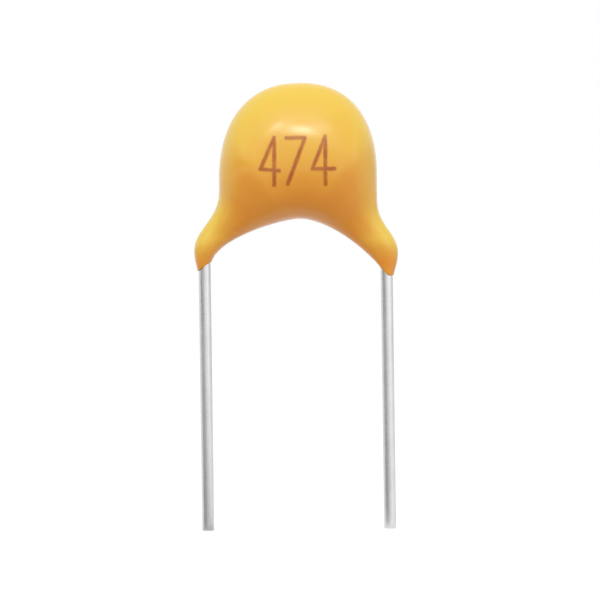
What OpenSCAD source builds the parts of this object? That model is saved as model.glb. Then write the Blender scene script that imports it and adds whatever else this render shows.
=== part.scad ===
// Radial multilayer ceramic capacitor: a chip between two tinned wires, dipped in epoxy.
//
// The origin is midway between the leads, on the seating plane at the rims of the coating.
// +Z points up through the dome, the leads run down along -Z, and the printed face looks
// along -Y. All sizes are in millimetres.

/* [Leads] */
// Distance between the two leads below the coating
lead_pitch = 5.08; // [4.2:0.02:6.4]
// Diameter of the tinned wire
wire_d = 0.34; // [0.26:0.02:0.5]
// Length of each lead below the seating plane
lead_l = 7.14; // [3:0.02:30]
// Height where the straight run ends and the slanted run begins
kink_z = 0.45; // [0.2:0.05:0.8]
// Angle of the slanted run from the vertical
slant = 30; // [20:1:45]
// Radius of each bend, to the middle of the wire
bend_r = 0.5; // [0.3:0.05:0.6]
// Height of the wire's upper end above the middle of the chip
wire_rise = 0.35; // [0.3:0.05:0.6]

/* [Chip] */
// Length of the chip over its two terminations
chip_l = 3.2; // [2:0.05:4]
// Height of the chip
chip_h = 1.6; // [1.2:0.05:2.5]
// Thickness of the chip, front to back
chip_t = 0.85; // [0.6:0.05:1.6]
// Height of the middle of the chip above the seating plane
chip_z = 3.1; // [3:0.05:5]
// Chamfer along the four long edges of the chip
chip_chamfer = 0.06; // [0.02:0.01:0.15]
// Thickness of the metal of a termination
term_t = 0.03; // [0.01:0.01:0.06]
// Length of the band that a termination wraps around the chip
term_band = 0.5; // [0.25:0.05:0.8]

/* [Electrodes] */
// Number of electrode plates on each termination
plates_each = 10; // [3:1:20]
// Thickness of an electrode plate
plate_t = 0.004; // [0.002:0.001:0.006]
// Thickness of the ceramic between two neighbouring plates
layer_t = 0.018; // [0.01:0.001:0.02]
// Ceramic left between a plate's free end and the far end of the chip
end_margin = 0.25; // [0.1:0.05:0.5]
// Ceramic left along each side of a plate
side_margin = 0.12; // [0.05:0.01:0.3]

/* [Solder] */
// Thickness of the solder around the wire and between wire and chip
solder_t = 0.03; // [0.02:0.01:0.06]
// Width of the solder where it spreads over the termination
solder_foot = 0.7; // [0.6:0.05:0.8]
// Height of the solder joint
solder_h = 0.8; // [0.6:0.05:1.2]

/* [Coating] */
// Epoxy outside the soldered wires, at the sides of the dome
side_wall = 0.205; // [0.15:0.005:0.5]
// Epoxy above the chip, up to the top of the dome
crown_wall = 1.435; // [0.5:0.005:2]
// Epoxy under the chip, down to the top of the arch
under_wall = 0.76; // [0.4:0.01:1.2]
// Epoxy in front of and behind the chip
face_wall = 0.775; // [0.3:0.005:1.2]
// Distance from the middle of the chip down to where the round of the dome ends
dome_drop = 0.4; // [0:0.05:0.8]
// Fullness of the dome's outline: 2 is an ellipse, more is squarer
dome_power = 2.3; // [2:0.05:3]
// How far chip and dome sit to the right of the middle of the leads
body_shift = 0.1; // [0:0.01:0.2]
// How far the top of the dome leans further to the right
dome_lean = 0.055; // [0:0.005:0.2]
// Epoxy outside the lead at the widest place of a foot, left and right
foot_wall = [0.12, 0.16]; // [0.08:0.01:0.3]
// Height of the widest place of a foot, left and right
foot_z = [0.7, 0.6]; // [0.5:0.05:1]
// Thickness of a leg, front to back, above its foot
leg_t = 0.78; // [0.6:0.02:1.2]
// Epoxy around the lead at its rim
rim_wall = 0.03; // [0.02:0.01:0.08]
// Height of the rim on the outer side of a lead, left and right
rim_low = [0.12, -0.06]; // [-0.15:0.01:0.15]
// Height of the rim on the inner side of a lead, left and right
rim_high = [0.38, 0.19]; // [0.16:0.01:0.4]
// How far the rim sags in front of a lead and behind it, left and right
rim_sag = [0, 0.1]; // [0:0.01:0.15]
// Angle of the arch from the vertical where it meets a foot, left and right
arch_angle = [18, 41]; // [10:1:60]
// Flatness of the arch near its top, left and right
arch_ease = [0.18, 0.29]; // [0.1:0.01:0.5]

/* [Hidden] */
wire_r = wire_d / 2;
lead_x = lead_pitch / 2;

// Every joint between pieces is bonded, so cavities have the exact size of what fills them.
ceramic_l = chip_l - 2 * term_t;
ceramic_h = chip_h - 2 * term_t;
ceramic_t = chip_t - 2 * term_t;

// Distance of a soldered wire from the middle of the chip
wire_reach = chip_l / 2 + solder_t + wire_r;

plate_count = 2 * plates_each;
plate_l = ceramic_l - end_margin;
plate_h = ceramic_h - 2 * side_margin;
plate_step = plate_t + layer_t;

dome_half_w = wire_reach + wire_r + solder_t + side_wall;
dome_top_z = chip_z + chip_h / 2 + crown_wall;
dome_base_z = chip_z - dome_drop;
arch_z = chip_z - chip_h / 2 - under_wall;
body_half_t = chip_t / 2 + face_wall;
leg_half_t = leg_t / 2;
rim_half_t = wire_r + rim_wall;

LEFT = -1;
RIGHT = 1;
function of_side(pair, side) = pair[side == LEFT ? 0 : 1];

wire_facets = 32;

function two_digits(i) = str(i < 10 ? "0" : "", i);
function plate_name(side, i) = str("electrode_", side == LEFT ? "left_" : "right_", two_digits(i));

// --- Leads -----------------------------------------------------------------------------

// Where the soldered part of a wire stands, and how far its slanted run carries it outward
function wire_top_x(side) = body_shift + side * wire_reach;
function wire_offset(side) = lead_x - side * wire_top_x(side);
function slant_l(side) = (wire_offset(side) - 2 * bend_r * (1 - cos(slant))) / sin(slant);
function upper_bend_z(side) = kink_z + 2 * bend_r * sin(slant) + slant_l(side) * cos(slant);
wire_top_z = chip_z + wire_rise;

// A bend that starts at the origin along +Z and turns towards -X, or towards +X
module wire_bend(turn) {
    translate([-turn * bend_r, 0, 0])
        rotate([90, 0, turn > 0 ? 0 : 180])
            rotate_extrude(angle = slant, $fn = 4 * wire_facets)
                translate([bend_r, 0])
                    circle(r = wire_r, $fn = wire_facets);
}

// Places its children where such a bend ends, along the direction that it ends in
module after_bend(turn) {
    translate([-turn * bend_r, 0, 0])
        rotate([0, -turn * slant, 0])
            translate([turn * bend_r, 0, 0])
                children();
}

module wire_run(length) {
    cylinder(h = length, r = wire_r, $fn = wire_facets);
}

// A wire as it stands at the right hand side: the straight run, the slanted run towards the
// chip, and the upright run that is soldered to it
module wire_shape(side) {
    straight_l = lead_l + kink_z;
    slanted_l = slant_l(side);
    wire_run(straight_l);
    translate([0, 0, straight_l]) {
        wire_bend(1);
        after_bend(1) {
            wire_run(slanted_l);
            translate([0, 0, slanted_l]) {
                wire_bend(-1);
                after_bend(-1)
                    wire_run(wire_top_z - upper_bend_z(side));
            }
        }
    }
}

module wire(side) {
    translate([side * lead_x, 0, -lead_l])
        rotate([0, 0, side == LEFT ? 180 : 0])
            wire_shape(side);
}

module lead_left() {
    color("silver") wire(LEFT);
}

module lead_right() {
    color("silver") wire(RIGHT);
}

// --- Chip ------------------------------------------------------------------------------

// A block along X, at the height of the chip, with its four long edges chamfered
module chip_block(x_from, x_to, h, t) {
    half_h = h / 2;
    half_t = t / 2;
    flat_h = half_h - chip_chamfer;
    flat_t = half_t - chip_chamfer;
    translate([body_shift + x_from, 0, chip_z])
        rotate([90, 0, 90])
            linear_extrude(x_to - x_from)
                polygon([
                    [-half_t, -flat_h], [-flat_t, -half_h], [flat_t, -half_h], [half_t, -flat_h],
                    [half_t, flat_h], [flat_t, half_h], [-flat_t, half_h], [-half_t, flat_h]
                ]);
}

module ceramic_block() {
    chip_block(-ceramic_l / 2, ceramic_l / 2, ceramic_h, ceramic_t);
}

// The outer shape of a termination, filled
module termination_block(side) {
    inner_x = chip_l / 2 - term_band;
    x_from = side == LEFT ? -chip_l / 2 : inner_x;
    chip_block(x_from, x_from + term_band, chip_h, chip_t);
}

module termination(side) {
    difference() {
        termination_block(side);
        ceramic_block();
    }
}

module termination_left() {
    color("gainsboro") termination(LEFT);
}

module termination_right() {
    color("gainsboro") termination(RIGHT);
}

// --- Electrodes ------------------------------------------------------------------------

// Plates of the two sides alternate through the thickness of the chip, left plate first
function plate_order(side, i) = 2 * (i - 1) + (side == LEFT ? 0 : 1);
function plate_y(side, i) = (plate_order(side, i) - (plate_count - 1) / 2) * plate_step;

module plate(side, i) {
    x_from = side == LEFT ? -ceramic_l / 2 : ceramic_l / 2 - plate_l;
    translate([body_shift + x_from, plate_y(side, i) - plate_t / 2, chip_z - plate_h / 2])
        cube([plate_l, plate_t, plate_h]);
}

module electrode(side, i) {
    color(side == LEFT ? "slategray" : "lightslategray") plate(side, i);
}

module ceramic_body() {
    color("tan")
        difference() {
            ceramic_block();
            for (side = [LEFT, RIGHT]) {
                for (i = [1:plates_each]) {
                    plate(side, i);
                }
            }
        }
}

// --- Solder ----------------------------------------------------------------------------

// Seen from above, at the right hand side: a ring around the wire, with a skirt that spreads
// over the termination
module solder_outline() {
    chip_end_x = -wire_r - solder_t;
    union() {
        circle(r = wire_r + solder_t, $fn = wire_facets);
        polygon([
            [chip_end_x, -solder_foot / 2], [0, -wire_r / 2],
            [0, wire_r / 2], [chip_end_x, solder_foot / 2]
        ]);
    }
}

module solder_block(side) {
    difference() {
        translate([wire_top_x(side), 0, chip_z - solder_h / 2])
            rotate([0, 0, side == LEFT ? 180 : 0])
                linear_extrude(solder_h)
                    solder_outline();
        termination_block(side);
    }
}

module solder(side) {
    difference() {
        solder_block(side);
        wire(side);
    }
}

module solder_left() {
    color("darkgray") solder(LEFT);
}

module solder_right() {
    color("darkgray") solder(RIGHT);
}

// --- Coating ---------------------------------------------------------------------------

// The skin is a band bent over the arch. Its outer edge runs from a rim over the dome to the
// other rim, its inner edge is the arch, and each station joins a point of one edge to a
// point of the other with a rounded section. A station's place is 0 at the top of the dome
// and 1 at a rim.
stations_each = 24;
section_points = 32;
dome_end = 0.56;
foot_end = 0.88;
// Above 1, the stations crowd together on the arch near its top and fan out over the dome
arch_fan = 1.8;

// Places between which a section changes from the body's to a leg's
leg_from = 0.36;
leg_to = 0.8;

// A section is thickest at the height of the chip's middle, but no further than this share of
// the way from the arch to the outer edge
belly_limit = 0.58;

// A leg has its full thickness from this far above the higher foot
leg_top_rise = 0.2;
leg_top_z = max(foot_z) + leg_top_rise;

// The side of the dome ends this far above the wire's upper bend
neck_rise = 0.15;
// How long a leg's outline stays upright below the neck and above the foot, as shares of
// the height between them
neck_ease = 0.45;
foot_ease = 0.35;
// How round the outline is below the foot, and how straight it comes down to the rim
foot_round = 0.5;
rim_ease = 0.4;
// Share of the arch's height over which it follows the slope of its foot
arch_leg_share = 0.58;

function neck_z(side) = min(dome_base_z, upper_bend_z(side) + neck_rise);
function smooth(a, b, v) = let (s = min(1, max(0, (v - a) / (b - a)))) s * s * (3 - 2 * s);
function share(a, b, v) = (v - a) / (b - a);
function mix(a, b, s) = a + (b - a) * s;
function bezier(p, s) =
    pow(1 - s, 3) * p[0] + 3 * pow(1 - s, 2) * s * p[1] + 3 * (1 - s) * s * s * p[2]
    + pow(s, 3) * p[3];

// Points of the outline's edges for one side, each [x, z] with x measured outward
function shift(side) = side * body_shift;
function neck(side) = [dome_half_w + shift(side), neck_z(side)];
function foot(side) = [lead_x + wire_r + of_side(foot_wall, side), of_side(foot_z, side)];
function rim_outer(side) = [lead_x + rim_half_t, of_side(rim_low, side)];
function rim_inner(side) = [lead_x - rim_half_t, of_side(rim_high, side)];

// Where the neck ends, so that neck and leg share their stations by length
function neck_end(side) =
    let (neck_l = dome_base_z - neck_z(side), leg_l = norm(neck(side) - foot(side)))
    dome_end + (foot_end - dome_end) * neck_l / (neck_l + leg_l);

function dome_point(side, s) =
    let (
        rise = pow(cos(90 * s), 2 / dome_power),
        reach = pow(sin(90 * s), 2 / dome_power)
    )
    [
        dome_half_w * reach + shift(side) + side * dome_lean * rise,
        mix(dome_base_z, dome_top_z, rise)
    ];

function leg_curve(side) =
    let (top = neck(side), bottom = foot(side), leg_h = top[1] - bottom[1])
    [top, top - [0, neck_ease * leg_h], bottom + [0, foot_ease * leg_h], bottom];

function foot_curve(side) =
    let (
        top = foot(side),
        rim = rim_outer(side),
        turn = [top[0], mix(top[1], rim[1], foot_round)]
    )
    [top, turn, mix(rim, top, rim_ease), rim];

function arch_curve(side) =
    let (
        apex = [shift(side), arch_z],
        rim = rim_inner(side),
        span = rim[0] - apex[0],
        rise = arch_leg_share * (arch_z - rim[1])
    )
    [
        apex, apex + [of_side(arch_ease, side) * span, 0],
        rim + [-rise * tan(of_side(arch_angle, side)), rise], rim
    ];

function outer_edge(side, v) =
    v <= dome_end ? dome_point(side, v / dome_end)
    : v <= neck_end(side)
        ? mix([neck(side)[0], dome_base_z], neck(side), share(dome_end, neck_end(side), v))
    : v <= foot_end ? bezier(leg_curve(side), share(neck_end(side), foot_end, v))
    : bezier(foot_curve(side), share(foot_end, 1, v));

function inner_edge(side, v) = bezier(arch_curve(side), pow(v, arch_fan));

function belly_share(inner_z, outer_z) =
    outer_z > chip_z ? min(belly_limit, share(inner_z, outer_z, chip_z)) : belly_limit;

function section(side, v) =
    let (
        outer = outer_edge(side, v),
        inner = inner_edge(side, v),
        leg_share = smooth(leg_from, leg_to, v),
        belly = mix(inner, outer, belly_share(inner[1], outer[1])),
        sag = of_side(rim_sag, side) * smooth(foot_end, 1, v)
    )
    [
        for (j = [0:section_points - 1])
            let (
                a = 360 * j / section_points,
                point = belly + cos(a) * (cos(a) > 0 ? outer - belly : belly - inner),
                leg_depth = mix(rim_half_t, leg_half_t, smooth(0, leg_top_z, point[1])),
                depth = mix(body_half_t, leg_depth, leg_share)
            )
            [side * point[0], depth * sin(a), point[1] - sag * pow(sin(a), 2)]
    ];

module coating_skin() {
    last = 2 * stations_each;
    rings = [
        for (i = [0:last])
            let (u = (i - stations_each) / stations_each)
            section(u < 0 ? LEFT : RIGHT, abs(u))
    ];
    points = [for (ring = rings) each ring];
    sides = [
        for (i = [0:last - 1]) for (j = [0:section_points - 1])
            let (
                a = i * section_points + j,
                b = i * section_points + (j + 1) % section_points
            )
            each [
                [a, b, b + section_points],
                [a, b + section_points, a + section_points]
            ]
    ];
    first_cap = [for (j = [section_points - 1:-1:0]) j];
    last_cap = [for (j = [0:section_points - 1]) last * section_points + j];
    polyhedron(points = points, faces = concat([first_cap, last_cap], sides), convexity = 4);
}

module epoxy_coating() {
    color("goldenrod")
        difference() {
            coating_skin();
            ceramic_block();
            for (side = [LEFT, RIGHT]) {
                termination_block(side);
                solder_block(side);
                wire(side);
            }
        }
}

// --- Nodes -----------------------------------------------------------------------------

epoxy_coating();
ceramic_body();
termination_left();
termination_right();
solder_left();
solder_right();
lead_left();
lead_right();
for (side = [LEFT, RIGHT]) {
    for (i = [1:plates_each]) {
        electrode(side, i);
    }
}
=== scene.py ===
"""A dipped radial ceramic capacitor, standing on its leads in a plain white studio.

The coating and the two wires are modelled here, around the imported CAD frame. The chip, its
terminations, the solder and the plates stay the CAD's own, sealed inside the coating.
Sizes are in millimetres and become metres when a mesh, a lamp or the camera is made.
"""
import math

import bpy
import numpy as np
from mathutils import Matrix, Vector, noise


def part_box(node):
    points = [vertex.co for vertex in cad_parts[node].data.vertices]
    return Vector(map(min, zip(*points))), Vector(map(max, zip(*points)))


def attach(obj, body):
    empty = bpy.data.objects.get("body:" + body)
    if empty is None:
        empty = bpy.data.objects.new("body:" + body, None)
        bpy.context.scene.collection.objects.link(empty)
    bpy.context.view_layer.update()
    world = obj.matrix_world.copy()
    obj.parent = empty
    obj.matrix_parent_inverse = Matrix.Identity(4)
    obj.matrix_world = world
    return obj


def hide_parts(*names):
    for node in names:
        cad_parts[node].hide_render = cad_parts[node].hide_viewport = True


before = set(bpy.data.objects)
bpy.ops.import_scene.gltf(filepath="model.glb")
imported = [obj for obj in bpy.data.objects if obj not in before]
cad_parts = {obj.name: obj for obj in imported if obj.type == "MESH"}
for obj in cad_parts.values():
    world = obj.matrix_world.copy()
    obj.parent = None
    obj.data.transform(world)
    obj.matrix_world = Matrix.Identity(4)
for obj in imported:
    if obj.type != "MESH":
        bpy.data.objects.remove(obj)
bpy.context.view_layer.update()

MM = 0.001
LEFT, RIGHT = -1, 1
SIDES = {LEFT: "left", RIGHT: "right"}
NOISE_SPAN = (0.3, 0.7)  # where a noise texture's values mostly lie

# --- Sizes from the frame --------------------------------------------------------------


def box_mm(node):
    """The lowest and highest corners of a CAD node, in millimetres."""
    low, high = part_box(node)
    return low / MM, high / MM


coat_low, coat_high = box_mm("epoxy_coating")
left_cap_low, left_cap_high = box_mm("termination_left")
_, right_cap_high = box_mm("termination_right")
leads = {side: box_mm(f"lead_{name}") for side, name in SIDES.items()}

# A lead's middle line is at lead_x below its bends and at wire_top_x above them
wire_r = leads[RIGHT][1].y
lead_x = leads[RIGHT][1].x - wire_r
tip_z = leads[RIGHT][0].z
wire_top_z = leads[RIGHT][1].z
wire_top_x = {LEFT: leads[LEFT][1].x - wire_r, RIGHT: leads[RIGHT][0].x + wire_r}

# The chip and the dome sit a little to the right of the middle between the leads
body_shift = (left_cap_low.x + right_cap_high.x) / 2
chip_z = (left_cap_low.z + left_cap_high.z) / 2

# --- Sizes of the bends and the coating, as in the CAD ---------------------------------

# Wires: where the lower bend starts, the slope between the bends, and their radius
kink_z = 0.45
slant = math.radians(30)
bend_r = 0.5

# Body: a dome (a superellipse that leans outward a little) on straight sides
dome_half_w = 2.205
dome_top_z = coat_high.z
dome_base_z = 2.7
dome_power = 2.3
dome_lean = 0.055
body_half_t = coat_high.y

# Arch: the height of its middle, its lean at the rims, and how far it stays level there
arch_z = 1.54
arch_angle = {LEFT: math.radians(18), RIGHT: math.radians(41)}
arch_ease = {LEFT: 0.18, RIGHT: 0.29}

# Legs: their widest places, and the slanted rims around the leads
leg_half_t = 0.39
foot_x = {LEFT: -coat_low.x, RIGHT: coat_high.x}
foot_z = {LEFT: 0.7, RIGHT: 0.6}
rim_wall = 0.03
rim_low_z = {LEFT: 0.12, RIGHT: -0.06}
rim_high_z = {LEFT: 0.38, RIGHT: 0.19}
rim_sag = {LEFT: 0.0, RIGHT: 0.1}

# Each half of the coating is a fan of sections from the arch to the outline. The place v of a
# section is 0 in the middle and 1 at the rim. The outline's dome ends at dome_end and its leg
# is widest at foot_end. Sections turn from the body's depth to the leg's between leg_from and
# leg_to, and the leg is at its full depth above leg_top_z.
dome_end, foot_end = 0.56, 0.88
arch_fan = 1.8
belly_limit, belly_ease = 0.58, 0.2
leg_from, leg_to = 0.36, 0.8
leg_top_z = max(foot_z.values()) + 0.2

# The straight sides end this far above the wires' upper bends
neck_rise = 0.15

# Control points of the curves in the outline and the arch, as shares of their spans
neck_ease, foot_ease = 0.45, 0.35
foot_round, rim_ease = 0.5, 0.4
arch_leg_share = 0.58


def mix(a, b, s):
    """The value at share s of the way from a to b."""
    return a + (b - a) * s


def smooth(a, b, v):
    """A smooth step from 0 where v is a to 1 where v is b."""
    s = np.clip((v - a) / (b - a), 0, 1)
    return s * s * (3 - 2 * s)


def bezier(points, s):
    """A point of the cubic through four control points, as an array."""
    p = [np.asarray(q, float) for q in points]
    r = 1 - s
    return r**3 * p[0] + 3 * r * r * s * p[1] + 3 * r * s * s * p[2] + s**3 * p[3]


# --- Wires -----------------------------------------------------------------------------


def slanted_run(side):
    """Length of a wire's straight piece between its two bends."""
    offset = abs(side * lead_x - wire_top_x[side])
    return (offset - 2 * bend_r * (1 - math.cos(slant))) / math.sin(slant)


def upper_bend_z(side):
    """Height at which a wire's upper bend ends."""
    return kink_z + 2 * bend_r * math.sin(slant) + slanted_run(side) * math.cos(slant)


def wire_path(side):
    """The middle line of a wire, as points (x outward from its lead, z, angle off upright)."""
    lead_steps, bend_steps = 40, 14
    run = slanted_run(side)
    points = [(0.0, mix(tip_z, kink_z, i / lead_steps), 0.0) for i in range(lead_steps)]
    for i in range(bend_steps + 1):
        turn = slant * i / bend_steps
        points.append((-bend_r * (1 - math.cos(turn)), kink_z + bend_r * math.sin(turn), turn))
    x, z, _ = points[-1]
    x, z = x - run * math.sin(slant), z + run * math.cos(slant)
    for i in range(bend_steps + 1):
        turn = slant * (1 - i / bend_steps)
        points.append(
            (
                x - bend_r * (math.cos(turn) - math.cos(slant)),
                z + bend_r * (math.sin(slant) - math.sin(turn)),
                turn,
            )
        )
    points.append((points[-1][0], wire_top_z, 0.0))
    return points


def mesh_object(name, vertices_mm, faces, material):
    """A smooth mesh object from points in millimetres."""
    mesh = bpy.data.meshes.new(name)
    mesh.from_pydata([tuple(c * MM for c in v) for v in vertices_mm], [], faces)
    mesh.validate()
    mesh.polygons.foreach_set("use_smooth", [True] * len(mesh.polygons))
    mesh.materials.append(material)
    mesh.update()
    piece = bpy.data.objects.new(name, mesh)
    bpy.context.scene.collection.objects.link(piece)
    return piece


def bridge(rings, size, close_first, close_last):
    """Faces between consecutive rings of vertices, and over the two ends."""
    faces = []
    for i in range(rings - 1):
        for j in range(size):
            k = (j + 1) % size
            faces.append((i * size + j, i * size + k, (i + 1) * size + k, (i + 1) * size + j))
    if close_first:
        faces.append(tuple(reversed(range(size))))
    if close_last:
        faces.append(tuple((rings - 1) * size + j for j in range(size)))
    return faces


def make_wire(side, material):
    """A tinned wire with its two bends and a cut, slightly rounded tip."""
    sides, round_steps = 48, 5
    tip_round = 0.05
    rings = []
    for i in range(round_steps + 1):
        a = math.pi / 2 * i / round_steps
        shrink = tip_round * (1 - math.sin(a))
        rings.append((0.0, tip_z + tip_round * (1 - math.cos(a)), 0.0, wire_r - shrink))
    for x, z, turn in wire_path(side)[1:]:
        rings.append((x, z, turn, wire_r))
    vertices = []
    for x, z, turn, radius in rings:
        for j in range(sides):
            a = 2 * math.pi * j / sides
            across = radius * math.cos(a)
            px = side * (lead_x + x + across * math.cos(turn))
            vertices.append((px, side * radius * math.sin(a), z + across * math.sin(turn)))
    faces = bridge(len(rings), sides, True, True)
    return mesh_object(f"wire_{SIDES[side]}", vertices, faces, material)


# --- Coating ---------------------------------------------------------------------------


def neck(side):
    """Where the body's straight side ends and the leg begins, as (x outward, z)."""
    z = min(dome_base_z, upper_bend_z(side) + neck_rise)
    return np.array((dome_half_w + side * body_shift, z))


def foot(side):
    """The leg's widest place, as (x outward, z)."""
    return np.array((foot_x[side], foot_z[side]))


def neck_end(side):
    """Where the neck ends, so that neck and leg share their stations by length."""
    neck_l = dome_base_z - neck(side)[1]
    leg_l = np.linalg.norm(neck(side) - foot(side))
    return dome_end + (foot_end - dome_end) * neck_l / (neck_l + leg_l)


def outer_edge(side, v):
    """The outline's outer edge at place v, as (x outward, z)."""
    if v <= dome_end:
        a = math.pi / 2 * v / dome_end
        rise, reach = math.cos(a) ** (2 / dome_power), math.sin(a) ** (2 / dome_power)
        x = dome_half_w * reach + side * body_shift + side * dome_lean * rise
        return np.array((x, mix(dome_base_z, dome_top_z, rise)))
    top, low = neck(side), foot(side)
    if v <= neck_end(side):
        s = (v - dome_end) / (neck_end(side) - dome_end)
        return mix(np.array((top[0], dome_base_z)), top, s)
    if v <= foot_end:
        drop = np.array((0, top[1] - low[1]))
        curve = (top, top - neck_ease * drop, low + foot_ease * drop, low)
        return bezier(curve, (v - neck_end(side)) / (foot_end - neck_end(side)))
    rim = np.array((lead_x + wire_r + rim_wall, rim_low_z[side]))
    turn = np.array((low[0], mix(low[1], rim[1], foot_round)))
    return bezier((low, turn, mix(rim, low, rim_ease), rim), (v - foot_end) / (1 - foot_end))


def inner_edge(side, v):
    """The arch at place v, as (x outward, z)."""
    apex = np.array((side * body_shift, arch_z))
    rim = np.array((lead_x - wire_r - rim_wall, rim_high_z[side]))
    rise = arch_leg_share * (arch_z - rim[1])
    start = apex + (arch_ease[side] * (rim[0] - apex[0]), 0)
    end = rim + (-rise * math.tan(arch_angle[side]), rise)
    return bezier((apex, start, end, rim), v**arch_fan)


def belly_share(inner_z, outer_z):
    """Where a section is thickest, as a share of the way from the arch outward."""
    if outer_z <= chip_z:
        return belly_limit
    share = (chip_z - inner_z) / (outer_z - inner_z)
    near = max(0.0, 1 - abs(share - belly_limit) / belly_ease)
    return min(belly_limit, share) - belly_ease * near**2 / 4


def section(side, v, angles):
    """One closed section of the coating at place v, as rows of (x, y, z)."""
    outer, inner = outer_edge(side, v), inner_edge(side, v)
    leg_share = smooth(leg_from, leg_to, v)
    belly = mix(inner, outer, belly_share(inner[1], outer[1]))
    along, across = np.cos(angles), np.sin(angles)
    arm = np.where(along[:, None] > 0, outer - belly, belly - inner)
    x = belly[0] + arm[:, 0] * along
    z = belly[1] + arm[:, 1] * along
    leg_depth = mix(wire_r + rim_wall, leg_half_t, smooth(0, leg_top_z, z))
    depth = mix(body_half_t, leg_depth, leg_share)
    sag = rim_sag[side] * smooth(foot_end, 1, v)
    return np.stack((side * x, depth * across, z - sag * across**2), axis=1)


def make_coating(material):
    """The dipped skin: a fine mesh of the CAD's sections, with soft waves and thin rims."""
    stations_each, section_points = 150, 144
    angles = -np.linspace(0, 2 * math.pi, section_points, endpoint=False)
    rings = []
    for i in range(-stations_each, stations_each + 1):
        side = LEFT if i < 0 else RIGHT
        rings.append(section(side, abs(i) / stations_each, angles))
    rings = waved(softened(np.array(rings)))
    rings = np.concatenate(([tucked(rings[0], LEFT)], rings, [tucked(rings[-1], RIGHT)]))
    points = rings.reshape(-1, 3)
    faces = bridge(len(rings), section_points, True, True)
    return mesh_object("coating", points, faces, material)


def softened(rings):
    """The rings with their places averaged over a few neighbours, the end rings kept."""
    passes = 12
    for _ in range(passes):
        rings[1:-1] = (rings[:-2] + 2 * rings[1:-1] + rings[2:]) / 4
    return rings


def waved(rings):
    """The rings with the slow, shallow waves of a dipped skin, fading out at the rims."""
    wave_depth, wave_l = 0.007, 1.1
    fade_rings = 12
    last = len(rings) - 1
    for i, ring in enumerate(rings):
        share = min(1.0, i / fade_rings, (last - i) / fade_rings)
        middle = ring.mean(axis=0)
        for point in ring:
            push = share * wave_depth * noise.noise(Vector(point) / wave_l)
            point += push * (point - middle) / np.linalg.norm(point - middle)
    return rings


def tucked(ring, side):
    """A copy of a rim drawn in under the surface of its wire."""
    tuck = 0.06
    centre = np.array((side * lead_x, 0.0))
    around = ring[:, :2] - centre
    inward = around * ((wire_r - tuck) / np.linalg.norm(around, axis=1))[:, None]
    return np.column_stack((centre + inward, ring[:, 2] + tuck))


# --- Materials -------------------------------------------------------------------------


class Nodes:
    """Short calls for building one material's node tree."""

    def __init__(self, name):
        self.material = bpy.data.materials.new(name)
        self.material.use_nodes = True
        self.tree = self.material.node_tree
        self.shader = self.tree.nodes["Principled BSDF"]

    def add(self, kind, **settings):
        """A new node with some of its settings."""
        node = self.tree.nodes.new(kind)
        for key, value in settings.items():
            setattr(node, key, value)
        return node

    def link(self, source, target):
        """Links an output socket to an input socket."""
        self.tree.links.new(source, target)

    def feed(self, value, socket):
        """Sets a socket to a number or links another socket to it."""
        if isinstance(value, bpy.types.NodeSocket):
            self.link(value, socket)
        else:
            socket.default_value = value

    def math(self, operation, *values, clamp=False):
        """The result of a maths operation on numbers or sockets."""
        node = self.add("ShaderNodeMath", operation=operation, use_clamp=clamp)
        for socket, value in zip(node.inputs, values):
            self.feed(value, socket)
        return node.outputs[0]

    def vector(self, operation, *values):
        """The result of an operation on vectors: a number for a dot product or a length."""
        node = self.add("ShaderNodeVectorMath", operation=operation)
        for socket, value in zip(node.inputs, values):
            self.feed(value, socket)
        return node.outputs["Value" if operation in ("DOT_PRODUCT", "LENGTH") else "Vector"]

    def scaled(self, vector, factor):
        """A vector times a number."""
        node = self.add("ShaderNodeVectorMath", operation="SCALE")
        self.feed(vector, node.inputs[0])
        self.feed(factor, node.inputs["Scale"])
        return node.outputs["Vector"]

    def place(self):
        """Places in the part's own frame, in millimetres."""
        coordinates = self.add("ShaderNodeTexCoord").outputs["Object"]
        return self.scaled(coordinates, 1 / MM)

    def noise(self, place, per_mm, detail=2.0, roughness=0.5, stretch=(1, 1, 1)):
        """Smooth noise with per_mm features in a millimetre."""
        node = self.add("ShaderNodeTexNoise")
        mapping = self.add("ShaderNodeMapping")
        mapping.inputs["Scale"].default_value = stretch
        self.link(place, mapping.inputs["Vector"])
        self.link(mapping.outputs["Vector"], node.inputs["Vector"])
        node.inputs["Scale"].default_value = per_mm
        node.inputs["Detail"].default_value = detail
        node.inputs["Roughness"].default_value = roughness
        return node.outputs["Fac"]

    def spread(self, value, low, high, to_low=0.0, to_high=1.0):
        """Maps a value from one range to another, smoothly and clamped."""
        node = self.add("ShaderNodeMapRange", interpolation_type="SMOOTHSTEP")
        self.feed(value, node.inputs["Value"])
        for name, number in zip(("From Min", "From Max", "To Min", "To Max"),
                                (low, high, to_low, to_high)):
            node.inputs[name].default_value = number
        return node.outputs["Result"]

    def blend(self, factor, a, b):
        """Mixes two colours."""
        node = self.add("ShaderNodeMix", data_type="RGBA")
        self.feed(factor, node.inputs["Factor"])
        colour_a, colour_b, colour_out = node.inputs[6], node.inputs[7], node.outputs[2]
        for value, socket in ((a, colour_a), (b, colour_b)):
            self.feed(value if isinstance(value, bpy.types.NodeSocket) else (*value, 1), socket)
        return colour_out

    def bump(self, height, depth_mm):
        """Bumps on the shader, depth_mm deep where the height goes from 0 to 1."""
        node = self.add("ShaderNodeBump")
        node.inputs["Strength"].default_value = 1.0
        node.inputs["Distance"].default_value = depth_mm * MM
        self.link(height, node.inputs["Height"])
        self.link(node.outputs["Normal"], self.shader.inputs["Normal"])

    def set(self, **values):
        """Feeds the shader's sockets, by their names with _ for a space."""
        for name, value in values.items():
            self.feed(value, self.shader.inputs[name.replace("_", " ")])


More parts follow.
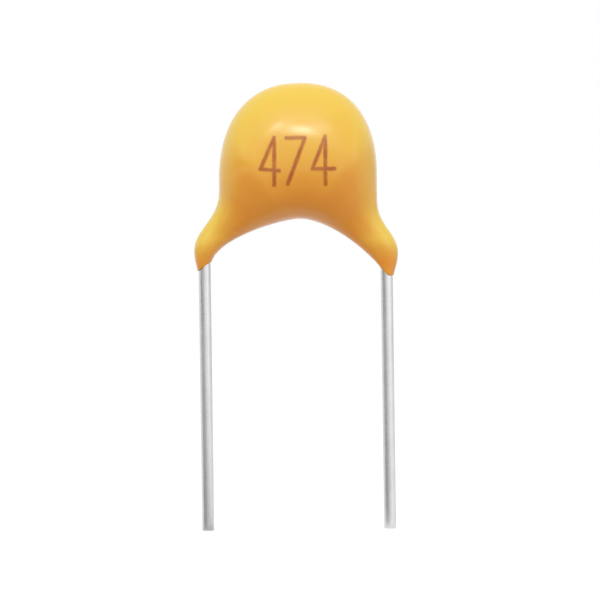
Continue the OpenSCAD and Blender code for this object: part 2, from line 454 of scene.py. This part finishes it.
# The printed number, as strokes between points (x, z) on the front of the body
stroke_w = 0.11
strokes = [
    ((-0.545, 3.77), (-0.935, 2.90)), ((-0.935, 2.90), (-0.42, 2.86)),
    ((-0.545, 3.77), (-0.56, 2.46)),
    ((-0.21, 3.76), (0.31, 3.76)), ((0.31, 3.76), (-0.18, 2.49)),
    ((0.865, 3.79), (0.505, 2.895)), ((0.505, 2.895), (1.12, 2.885)),
    ((0.865, 3.79), (0.86, 2.46)),
]


def stroke_distance(n, place, start, end):
    """Distance from a place, flattened to y = 0, to one stroke of the number."""
    a, b = Vector((start[0], 0, start[1])), Vector((end[0], 0, end[1]))
    along = b - a
    from_a = n.vector("SUBTRACT", place, tuple(a))
    share = n.math("DIVIDE", n.vector("DOT_PRODUCT", from_a, tuple(along)), along.length_squared,
                   clamp=True)
    return n.vector("LENGTH", n.vector("SUBTRACT", from_a, n.scaled(tuple(along), share)))


def epoxy_material():
    """Dipped resin with a printed number: glossy, slightly see-through, softly dimpled, its
    colour carrying painted light and shade.
    """
    orange, yellow, ink_brown = (0.87, 0.315, 0.02), (0.89, 0.60, 0.065), (0.48, 0.105, 0.004)
    n = Nodes("epoxy")
    place = n.place()
    parts = n.add("ShaderNodeSeparateXYZ")
    n.link(place, parts.inputs[0])

    # Resin: painted light and shade, yellower where the skin faces up and more orange where it
    # faces down
    facing = n.add("ShaderNodeSeparateXYZ")
    n.link(n.add("ShaderNodeTexCoord").outputs["Normal"], facing.inputs[0])
    # Painted light and shade: the blend follows which way the surface faces
    up = n.spread(facing.outputs["Z"], -0.65, 0.75)
    mottle = n.spread(n.noise(place, 0.9, 3.0), *NOISE_SPAN, -0.05, 0.05)
    # Painted shade: more orange towards the bottom of the legs, near the rims
    low = n.spread(parts.outputs["Z"], 0.1, 0.9, -0.5, 0.0)
    # Yellower towards the sides of the body
    thin = n.spread(n.math("ABSOLUTE", parts.outputs["X"]), 1.5, 2.3, 0.0, 0.24)
    tone = n.math("ADD", n.math("ADD", up, mottle), n.math("ADD", low, thin), clamp=True)
    resin = n.blend(tone, orange, yellow)

    # Number: ink that has sunk into the resin's front, with soft edges and an uneven density
    soft_edge, front_y = 0.03, -0.4
    flat = n.vector("MULTIPLY", place, (1, 0, 1))
    distances = [stroke_distance(n, flat, a, b) for a, b in strokes]
    nearest = distances[0]
    for distance in distances[1:]:
        nearest = n.math("MINIMUM", nearest, distance)
    wobble = n.spread(n.noise(place, 7.0, 2.0), *NOISE_SPAN, -0.008, 0.008)
    edge = n.math("ADD", nearest, wobble)
    ink = n.spread(edge, stroke_w / 2 - soft_edge, stroke_w / 2 + soft_edge, 1.0, 0.0)
    density = n.spread(n.noise(place, 3.0, 3.0), *NOISE_SPAN, 0.75, 1.0)
    front = n.math("LESS_THAN", parts.outputs["Y"], front_y)
    mask = n.math("MULTIPLY", n.math("MULTIPLY", ink, density), front)
    colour = n.blend(mask, resin, ink_brown)

    peel = n.noise(place, 2.4, 3.0, 0.55)
    n.bump(peel, 0.011)
    gloss = n.spread(n.noise(place, 2.5, 2.0), *NOISE_SPAN, 0.3, 0.4)
    n.set(Base_Color=colour, Roughness=gloss, Specular_IOR_Level=0.15, Coat_Weight=0.8,
          Coat_Roughness=0.2, Subsurface_Weight=0.12, Subsurface_Scale=0.4 * MM)
    n.shader.inputs["Subsurface Radius"].default_value = (1.0, 0.45, 0.12)
    return n.material


def tinned_wire_material():
    """Drawn and tinned wire: satin, with fine streaks along it and faint patches."""
    n = Nodes("tinned_wire")
    place = n.place()
    streaks = n.noise(place, 14.0, 3.0, 0.6, stretch=(1, 1, 0.06))
    patches = n.noise(place, 2.2, 3.0)
    colour = n.blend(n.spread(patches, *NOISE_SPAN), (0.645, 0.645, 0.65), (0.68, 0.68, 0.675))
    n.bump(streaks, 0.001)
    n.set(Base_Color=colour, Metallic=1.0, Roughness=n.spread(streaks, *NOISE_SPAN, 0.24, 0.34))
    return n.material


def inner_material(name, dark, light, metallic, rough, grain_per_mm, grain_depth):
    """A material for a piece sealed in the coating: two tones, grain and uneven gloss."""
    n = Nodes(name)
    place = n.place()
    grain = n.noise(place, grain_per_mm, 4.0, 0.6)
    colour = n.blend(n.spread(grain, *NOISE_SPAN), dark, light)
    n.bump(grain, grain_depth)
    n.set(Base_Color=colour, Metallic=metallic,
          Roughness=n.spread(grain, *NOISE_SPAN, rough - 0.08, rough + 0.08))
    return n.material


def paint(node, material):
    """Gives a CAD node's object a material in every slot."""
    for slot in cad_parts[node].material_slots:
        slot.material = material


# --- Studio ----------------------------------------------------------------------------

# What the camera sees: the width and the middle (x, z) of its view at y = 0
view_w = 16.76
view_centre = (0.1095, -0.728)
view_roll = math.radians(0.8)
view_distance = 120
sensor_mm = 36


def make_camera():
    """Looks straight at the front, turned a little about its own axis."""
    data = bpy.data.cameras.new("camera")
    camera = bpy.data.objects.new("camera", data)
    bpy.context.scene.collection.objects.link(camera)
    data.sensor_width = sensor_mm
    data.lens = sensor_mm * view_distance / view_w
    data.clip_start = 1 * MM
    data.clip_end = 10.0
    right = Vector((math.cos(view_roll), 0, -math.sin(view_roll)))
    up = Vector((math.sin(view_roll), 0, math.cos(view_roll)))
    turn = Matrix((right, up, right.cross(up))).transposed()
    place = Vector((view_centre[0], -view_distance, view_centre[1])) * MM
    camera.matrix_world = Matrix.Translation(place) @ turn.to_4x4()
    bpy.context.scene.camera = camera


# The lamps stand this far from the middle of the body and look at it
body_middle = Vector((body_shift, 0, 3.2))
lamp_distance = 150


def around(azimuth, elevation):
    """A lamp's place: degrees to the right of the camera's side, and above the horizon."""
    a, e = math.radians(azimuth), math.radians(elevation)
    toward = Vector((math.sin(a) * math.cos(e), -math.cos(a) * math.cos(e), math.sin(e)))
    return body_middle + lamp_distance * toward


def make_lamp(name, place, size, power):
    """A soft box at a place, in millimetres, turned to the middle of the body."""
    data = bpy.data.lights.new(name, "AREA")
    data.shape = "RECTANGLE"
    data.size, data.size_y = size[0] * MM, size[1] * MM
    data.energy = power
    lamp = bpy.data.objects.new(name, data)
    bpy.context.scene.collection.objects.link(lamp)
    lamp.location = place * MM
    lamp.rotation_euler = (body_middle - place).to_track_quat("-Z", "Y").to_euler()
    lamp.visible_camera = False


def make_card(name, azimuths, rims, levels):
    """A curved card that only reflections see, to shade the wires and the gloss.

    It lies between two rims of (radius, z), and its glow changes smoothly between its two
    azimuths.
    """
    steps = 24
    first, last = (math.radians(azimuth) for azimuth in azimuths)
    vertices = []
    for i in range(steps + 1):
        a = mix(first, last, i / steps)
        for radius, z in rims:
            vertices.append((radius * math.sin(a), -radius * math.cos(a), z))
    faces = [(2 * i, 2 * i + 2, 2 * i + 3, 2 * i + 1) for i in range(steps)]
    n = Nodes(name)
    parts = n.add("ShaderNodeSeparateXYZ")
    n.link(n.place(), parts.inputs[0])
    toward = n.math("MULTIPLY", parts.outputs["Y"], -1)
    azimuth = n.math("ARCTAN2", parts.outputs["X"], toward)
    glow = n.add("ShaderNodeEmission")
    n.link(n.spread(azimuth, first, last, *levels), glow.inputs["Strength"])
    n.link(glow.outputs[0], n.tree.nodes["Material Output"].inputs["Surface"])
    card = mesh_object(name, vertices, faces, n.material)
    card.visible_camera = False
    card.visible_diffuse = False
    card.visible_shadow = False


def make_cards(name, rims, stops):
    """Cards side by side, between stops of (azimuth, level)."""
    for i, (first, last) in enumerate(zip(stops, stops[1:])):
        azimuths, levels = zip(first, last)
        make_card(f"{name}_{i}", azimuths, rims, levels)


def background_factor(tree):
    """1 for rays from the camera and in reflections or refractions, 0 for all others."""
    path = tree.nodes.new("ShaderNodeLightPath")
    total = path.outputs["Is Camera Ray"]
    for name in ("Is Glossy Ray", "Is Transmission Ray"):
        node = tree.nodes.new("ShaderNodeMath")
        node.operation = "MAXIMUM"
        tree.links.new(total, node.inputs[0])
        tree.links.new(path.outputs[name], node.inputs[1])
        total = node.outputs[0]
    return total


def make_world(fill, seen):
    """White to the camera and in reflections, a softer fill for everything else."""
    world = bpy.data.worlds.new("studio")
    bpy.context.scene.world = world
    world.use_nodes = True
    tree = world.node_tree
    background = tree.nodes["Background"]
    background.inputs["Color"].default_value = (1, 1, 1, 1)
    strength = tree.nodes.new("ShaderNodeMapRange")
    strength.inputs["To Min"].default_value = fill
    strength.inputs["To Max"].default_value = seen
    tree.links.new(background_factor(tree), strength.inputs["Value"])
    tree.links.new(strength.outputs["Result"], background.inputs["Strength"])


def make_floor(glow_level):
    """A pale sheet under the tips of the leads, which the camera sees as white."""
    half_w, steps = 400, 40
    vertices, faces = [], []
    for i in range(steps + 1):
        for j in range(steps + 1):
            x, y = (mix(-half_w, half_w, c / steps) for c in (i, j))
            vertices.append((x, y, tip_z))
    for i in range(steps):
        for j in range(steps):
            a = i * (steps + 1) + j
            faces.append((a, a + steps + 1, a + steps + 2, a + 1))
    n = Nodes("paper")
    fibres = n.noise(n.place(), 0.4, 3.0)
    n.set(Base_Color=n.blend(fibres, (0.48, 0.48, 0.48), (0.52, 0.52, 0.52)), Roughness=0.9,
          Specular_IOR_Level=0.0)
    glow = n.add("ShaderNodeEmission")
    n.link(n.math("MULTIPLY", background_factor(n.tree), glow_level), glow.inputs["Strength"])
    total = n.add("ShaderNodeAddShader")
    n.link(n.shader.outputs[0], total.inputs[0])
    n.link(glow.outputs[0], total.inputs[1])
    n.link(total.outputs[0], n.tree.nodes["Material Output"].inputs["Surface"])
    mesh_object("floor", vertices, faces, n.material)


# --- Assembly --------------------------------------------------------------------------

coating = make_coating(epoxy_material())
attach(coating, "root")
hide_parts("epoxy_coating")

tinned_wire = tinned_wire_material()
for side, name in SIDES.items():
    wire = make_wire(side, tinned_wire)
    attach(wire, "root")
    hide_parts(f"lead_{name}")

# The sealed pieces: a dark and a light tone, metallic, roughness, grain per mm and its depth
inner_looks = {
    "ceramic": ((0.33, 0.22, 0.12), (0.42, 0.29, 0.17), 0, 0.7, 12, 0.002),
    "termination": ((0.55, 0.55, 0.53), (0.7, 0.7, 0.68), 1, 0.35, 8, 0.002),
    "solder": ((0.45, 0.45, 0.46), (0.62, 0.62, 0.63), 1, 0.45, 6, 0.004),
    "electrode": ((0.16, 0.17, 0.18), (0.26, 0.27, 0.28), 1, 0.5, 20, 0.0005),
}
inner = {kind: inner_material(kind, *look) for kind, look in inner_looks.items()}
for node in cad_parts:
    kind = node.split("_")[0]
    if kind in inner:
        paint(node, inner[kind])

make_camera()
make_world(fill=0.85, seen=1.0)
make_floor(glow_level=0.6)

# Soft boxes: (azimuth, elevation), size and power. The first four light the body, and the
# other three make the spots of its highlight.
lamps = {
    "top": ((-5, 50), (120, 60), 0.014),
    "soft_left": ((-48, 26), (70, 60), 0.006),
    "soft_right": ((50, 16), (70, 66), 0.010),
    "band": ((0, 41), (60, 26), 0.005),
    "spot_right": ((1.5, 29), (5, 9), 0.018),
    "spot_left": ((-9, 34), (9, 13), 0.010),
    "patch_right": ((11, 34), (8, 12), 0.004),
}
for name, (angles, size, power) in lamps.items():
    make_lamp(name, around(*angles), size, power)

# Cards standing around the part at a distance, and lying just above the floor around its leads
far_r, flat_z = 170, tip_z + 0.02
make_cards(
    "far",
    ((far_r, -110), (far_r, 28)),
    ((-100, 1.0), (-76, 0.12), (-40, 0.12), (20, 1.3), (60, 1.3), (90, 1.0), (125, 0.6),
     (155, 1.0)),
)
make_cards(
    "flat",
    ((0.5, flat_z), (40, flat_z)),
    ((-100, 1.0), (-76, 0.5), (10, 0.5), (60, 1.0)),
)

bpy.context.scene.view_settings.view_transform = "Standard"
